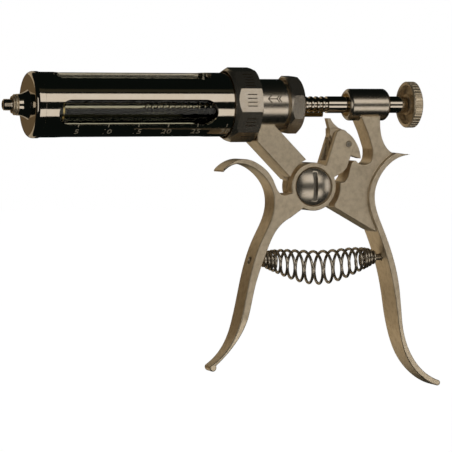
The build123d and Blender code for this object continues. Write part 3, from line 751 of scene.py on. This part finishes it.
class SYRINGE_OT_selector(bpy.types.Operator):
    """Finish the ten-sided dose ring, its tally marks and the stop it turns"""

    bl_idname = "syringe.selector"
    bl_label = "Selector"

    def execute(self, context):
        edged_copy("selector_ring", "dose_ring", brushed_nickel(), 0.3 * MM)
        # The tally strokes carry painted shade in their colour.
        make_piece(tally_marks(context.scene.syringe_marks.cut_width), "tally_marks",
                   shade_painted_mark(), "selector")
        edged_copy("dose_stop", "stop_tongue", machined_brass(), 0.2 * MM)
        carried("selector_sleeve", machined_brass())
        for node in ("drive_pin", "cam_pin"):
            carried(node, drawn_steel())
        return {"FINISHED"}


# ================= Lever and pawl =================
class SYRINGE_OT_lever(bpy.types.Operator):
    """Finish the front lever, its pawl, the pawl's pin and leaf spring"""

    bl_idname = "syringe.lever"
    bl_label = "Lever and Pawl"

    def execute(self, context):
        edged_copy("front_lever", "cast_lever", satin_nickel(), 0.6 * MM, 3, clamp=False)
        edged_copy("pawl", "nosed_pawl", satin_nickel(), 0.3 * MM)
        edged_copy("pawl_pin", "riveted_pin", drawn_steel(), 0.35 * MM, 3)
        edged_copy("spring_stud_front", "front_stud", drawn_steel(), 0.2 * MM)
        carried("pawl_spring", drawn_steel())
        return {"FINISHED"}


# ================= Plunger and knob =================
RING_COUNT = 33
STROKE_RINGS = 30
NOSE_REACH = 7.0 * MM          # from the hinge back to where the pawl's nose rests
BEAD = 1.5 * MM                # length of a ring's crown
GROOVE_DEPTH = 0.75 * MM
GROOVE_CORNER = 0.2 * MM
ROD_BORE_R = 2.2 * MM
NECK_R = 3.0 * MM              # through the piston
ROD_BEVEL = 0.3 * MM


def rod_profile():
    """Half the hollow rod's outline: a neck for the piston, the rings and a plain rear end."""
    floor_r = ROD_R - GROOVE_DEPTH
    brink_r = ROD_R - GROOVE_DEPTH * 0.35
    brow_r = ROD_R - 0.06 * MM
    neck_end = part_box("piston_back_plate")[1].x
    first = HINGE.x + NOSE_REACH - (STROKE_RINGS + 2) * RING_PITCH
    profile = [
        (ROD_LOW.x, ROD_BORE_R), (ROD_LOW.x, NECK_R), (neck_end, NECK_R), (neck_end, ROD_R),
        (first - GROOVE_CORNER, ROD_R)]
    for ring in range(RING_COUNT):
        groove = first + ring * RING_PITCH
        crown = groove + RING_PITCH - BEAD
        profile += [
            (groove, brink_r), (groove + GROOVE_CORNER, floor_r), (crown - GROOVE_CORNER, floor_r),
            (crown, brink_r)]
        if ring < RING_COUNT - 1:
            profile += [
                (crown + BEAD * 0.22, brow_r), (crown + BEAD * 0.5, ROD_R),
                (crown + BEAD * 0.78, brow_r)]
        else:
            profile.append((crown + GROOVE_CORNER, ROD_R))
    profile += [
        (ROD_HIGH.x - ROD_BEVEL, ROD_R), (ROD_HIGH.x, ROD_R - ROD_BEVEL), (ROD_HIGH.x, ROD_BORE_R)]
    return profile


class SYRINGE_OT_plunger(bpy.types.Operator):
    """Turn the ringed rod and finish the piston"""

    bl_idname = "syringe.plunger"
    bl_label = "Plunger"

    def execute(self, context):
        make_piece(lathe(rod_profile(), 64), "ringed_rod", polished_nickel(), "plunger",
                   ("piston_rod",))
        for node in ("piston_front_plate", "piston_back_plate"):
            carried(node, machined_brass())
        carried("piston_rubber", seal_rubber())
        return {"FINISHED"}


class SYRINGE_OT_knob(bpy.types.Operator):
    """Finish the knurled knob, its nut and the spindle through the rod"""

    bl_idname = "syringe.knob"
    bl_label = "Knob"

    def execute(self, context):
        carried("knob", satin_nickel())
        edged_copy("knob_nut", "end_nut", polished_nickel(), 0.2 * MM)
        carried("spindle", drawn_steel())
        return {"FINISHED"}


# ================= Handle spring =================
STUD_COVER = 6.0 * MM          # how far the close turns reach over each stud
CLOSE_PITCH = 2.3              # of the close turns, in wire radii
TURN_STEPS = 24
CROWDING = 0.25                # how much nearer the open turns are at their ends
SWELL_POWER = 0.75
SAG_POWER = 1.5


def spring_path(look):
    """Points along the wire: close ends on the studs, open bowed turns between."""
    start_x = STUD_FRONT_HIGH.x - STUD_COVER + look.wire_radius
    end_x = STUD_REAR_LOW.x + STUD_COVER - look.wire_radius
    axis_z = (STUD_FRONT_LOW.z + STUD_FRONT_HIGH.z) / 2
    close_pitch = CLOSE_PITCH * look.wire_radius
    close_len = look.close_turns * close_pitch
    open_len = end_x - start_x - 2 * close_len
    turns = 2 * look.close_turns + look.open_turns
    points = []
    for i in range(int(turns * TURN_STEPS) + 1):
        done = i / TURN_STEPS
        if done < look.close_turns:
            x = start_x + done * close_pitch
        elif done > turns - look.close_turns:
            x = end_x - (turns - done) * close_pitch
        else:
            share = (done - look.close_turns) / look.open_turns
            eased = share - CROWDING * math.sin(2 * math.pi * share) / (2 * math.pi)
            x = start_x + close_len + open_len * eased
        hump = math.sin(math.pi * (x - start_x) / (end_x - start_x))
        radius = look.end_radius + (look.belly_radius - look.end_radius) * hump ** SWELL_POWER
        sink = look.sag * hump ** SAG_POWER
        turn = 2 * math.pi * done
        points.append(Vector((x, -radius * math.sin(turn), axis_z - sink + radius * math.cos(turn))))
    return points, start_x, end_x, axis_z


class SYRINGE_OT_handle_spring(bpy.types.Operator):
    """Wind the barrel-shaped spring that opens the handles"""

    bl_idname = "syringe.handle_spring"
    bl_label = "Handle Spring"

    def execute(self, context):
        look = context.scene.syringe_spring
        points, start_x, end_x, axis_z = spring_path(look)
        curve = bpy.data.curves.new("barrel_spring", "CURVE")
        curve.dimensions = "3D"
        curve.bevel_depth = look.wire_radius
        curve.bevel_resolution = 4
        curve.use_fill_caps = True
        wire = curve.splines.new("POLY")
        wire.points.add(len(points) - 1)
        for spot, place in zip(wire.points, points):
            spot.co = (*place, 1.0)
        wound = bpy.data.objects.new("wound", curve)
        context.scene.collection.objects.link(wound)
        context.view_layer.update()
        mesh = bpy.data.meshes.new_from_object(wound)
        bpy.data.objects.remove(wound)
        mesh.name = "barrel_spring"
        mesh.materials.clear()
        mesh.materials.append(drawn_steel())
        soften(mesh, 50)
        spring = bpy.data.objects.new("barrel_spring", mesh)
        context.scene.collection.objects.link(spring)
        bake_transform(spring)
        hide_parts("handle_spring")
        return {"FINISHED"}


# ================= Stage =================
SOFT_WHITE = (1.0, 0.95, 0.88)
AMBER = (1.0, 0.85, 0.5)
WARM = (1.0, 0.86, 0.64)
DARK_WALL = (0.0045, 0.0065, 0.006, 1.0)
BROWN_WALL = (0.14, 0.098, 0.052, 1.0)
BROWN_SIDE = (-0.42, 0.90, 0.0)
PAPER_RADIUS = 12.0


def soft_box(name, elevation, along, height, width, radiance, distance, far=False, aim=None,
             colour=SOFT_WHITE):
    """A soft box at an elevation in degrees, facing the barrel's axis beside it or at aim."""
    light = bpy.data.lights.new(name, "AREA")
    light.shape = "RECTANGLE"
    light.size = width
    light.size_y = height
    light.energy = radiance * math.pi * width * height
    light.color = colour
    lamp = bpy.data.objects.new(name, light)
    rise = math.radians(elevation)
    place = Vector((along, -math.cos(rise) * distance, math.sin(rise) * distance))
    if far:
        place.y = -place.y
    lamp.location = place
    facing = Vector((along if aim is None else aim, 0, 0)) - place
    lamp.rotation_euler = facing.to_track_quat("-Z", "Y").to_euler()
    lamp.visible_camera = False
    bpy.context.scene.collection.objects.link(lamp)


def surroundings():
    """Dark studio walls that warm to brown on one side, and plain white where the camera looks."""
    world = bpy.data.worlds.new("studio")
    bpy.context.scene.world = world
    world.use_nodes = True
    nodes, links = world.node_tree.nodes, world.node_tree.links
    background = nodes["Background"]
    place = nodes.new("ShaderNodeTexCoord")
    facing = nodes.new("ShaderNodeVectorMath")
    facing.operation = "DOT_PRODUCT"
    facing.inputs[1].default_value = Vector(BROWN_SIDE).normalized()
    links.new(place.outputs["Generated"], facing.inputs[0])
    behind = nodes.new("ShaderNodeMapRange")
    behind.inputs["From Min"].default_value = 0.80
    behind.inputs["From Max"].default_value = 0.97
    links.new(facing.outputs["Value"], behind.inputs["Value"])
    wall = nodes.new("ShaderNodeMix")
    wall.data_type = "RGBA"
    wall.inputs["A"].default_value = DARK_WALL
    wall.inputs["B"].default_value = BROWN_WALL
    links.new(behind.outputs["Result"], wall.inputs["Factor"])
    links.new(wall.outputs["Result"], background.inputs["Color"])
    pale = nodes.new("ShaderNodeBackground")
    pale.inputs["Color"].default_value = (1.0, 1.0, 1.0, 1.0)
    seen = nodes.new("ShaderNodeLightPath")
    choice = nodes.new("ShaderNodeMixShader")
    links.new(seen.outputs["Is Camera Ray"], choice.inputs["Fac"])
    links.new(background.outputs["Background"], choice.inputs[1])
    links.new(pale.outputs["Background"], choice.inputs[2])
    links.new(choice.outputs["Shader"], nodes["World Output"].inputs["Surface"])


def pale_floor(drop):
    """A wide pale floor, far enough below to hold no sharp shadow."""
    bm = bmesh.new()
    bmesh.ops.create_circle(bm, cap_ends=True, segments=64, radius=PAPER_RADIUS)
    bmesh.ops.translate(bm, verts=bm.verts, vec=(0, 0, -drop))
    mesh = bpy.data.meshes.new("pale_floor")
    bm.to_mesh(mesh)
    bm.free()
    paper = bpy.data.materials.new("pale_paper")
    paper.use_nodes = True
    shader = paper.node_tree.nodes["Principled BSDF"]
    shader.inputs["Base Color"].default_value = (0.5, 0.5, 0.5, 1.0)
    shader.inputs["Emission Color"].default_value = (1.0, 1.0, 1.0, 1.0)
    shader.inputs["Emission Strength"].default_value = 1.0
    mesh.materials.append(paper)
    floor = bpy.data.objects.new("pale_floor", mesh)
    bpy.context.scene.collection.objects.link(floor)
    floor.visible_glossy = False
    floor.visible_diffuse = False
    floor.visible_transmission = False


class SYRINGE_OT_stage(bpy.types.Operator):
    """Set up the camera, the soft boxes, the walls and the pale floor"""

    bl_idname = "syringe.stage"
    bl_label = "Stage"

    def execute(self, context):
        look = context.scene.syringe_stage
        context.scene.view_settings.view_transform = "Standard"
        lens = bpy.data.cameras.new("camera")
        lens.lens = look.lens
        lens.sensor_width = 36.0
        lens.clip_start = 0.01
        camera = bpy.data.objects.new("camera", lens)
        camera.location = look.camera_place
        facing = Vector(look.camera_target) - Vector(look.camera_place)
        camera.rotation_euler = facing.to_track_quat("-Z", "Y").to_euler()
        context.scene.collection.objects.link(camera)
        context.scene.camera = camera
        surroundings()
        pale_floor(look.floor_drop)
        reach = look.box_distance
        bright = look.box_radiance
        for name, elevation, height, strength, colour in (
                ("upper_box", 24.4, 0.518, 1.0, SOFT_WHITE),
                ("lower_box", -28.0, 0.462, 1.0, SOFT_WHITE),
                ("high_fill", 50.0, 0.2, 0.03, AMBER)):
            soft_box(name, elevation, 0.49, height * reach, 1.5, bright * strength, reach,
                     colour=colour)
        for name, elevation in (("far_upper_box", 27.0), ("far_lower_box", -30.0)):
            soft_box(name, elevation, -0.4, 0.45 * reach, 1.4, bright * 0.4, reach, far=True,
                     colour=WARM)
        for name, along, strength in (("left_box", -1.1, 0.8), ("right_box", 1.4, 0.9)):
            soft_box(name, 0.0, along, 0.7 * reach, 0.5, bright * strength, 0.45 * reach, aim=0.1)
        return {"FINISHED"}


# ================= Panel and registration =================
STEPS = (
    SYRINGE_OT_stage, SYRINGE_OT_needle_end, SYRINGE_OT_barrel, SYRINGE_OT_frame,
    SYRINGE_OT_selector, SYRINGE_OT_lever, SYRINGE_OT_plunger, SYRINGE_OT_knob,
    SYRINGE_OT_handle_spring,
)


class SYRINGE_PT_panel(bpy.types.Panel):
    """Buttons that make each part of the syringe's looks"""

    bl_label = "Repeating Syringe"
    bl_idname = "SYRINGE_PT_panel"
    bl_space_type = "VIEW_3D"
    bl_region_type = "UI"
    bl_category = "Syringe"

    def draw(self, context):
        """One button for each step, in the order that main runs them."""
        for step in STEPS:
            self.layout.operator(step.bl_idname)


SETTINGS = {
    "syringe_finish": FinishSettings,
    "syringe_marks": MarkSettings,
    "syringe_spring": SpringSettings,
    "syringe_stage": StageSettings,
}


def register():
    """Add the settings, the operators and the panel."""
    for name, group in SETTINGS.items():
        bpy.utils.register_class(group)
        setattr(bpy.types.Scene, name, PointerProperty(type=group))
    for step in STEPS:
        bpy.utils.register_class(step)
    bpy.utils.register_class(SYRINGE_PT_panel)


def unregister():
    """Take away what register added."""
    bpy.utils.unregister_class(SYRINGE_PT_panel)
    for step in reversed(STEPS):
        bpy.utils.unregister_class(step)
    for name, group in SETTINGS.items():
        delattr(bpy.types.Scene, name)
        bpy.utils.unregister_class(group)


def main():
    """Make every piece."""
    register()
    bpy.ops.syringe.stage()
    bpy.ops.syringe.needle_end()
    bpy.ops.syringe.barrel()
    bpy.ops.syringe.frame()
    bpy.ops.syringe.selector()
    bpy.ops.syringe.lever()
    bpy.ops.syringe.plunger()
    bpy.ops.syringe.knob()
    bpy.ops.syringe.handle_spring()
    bpy.context.view_layer.update()


if __name__ == "__main__":
    main()
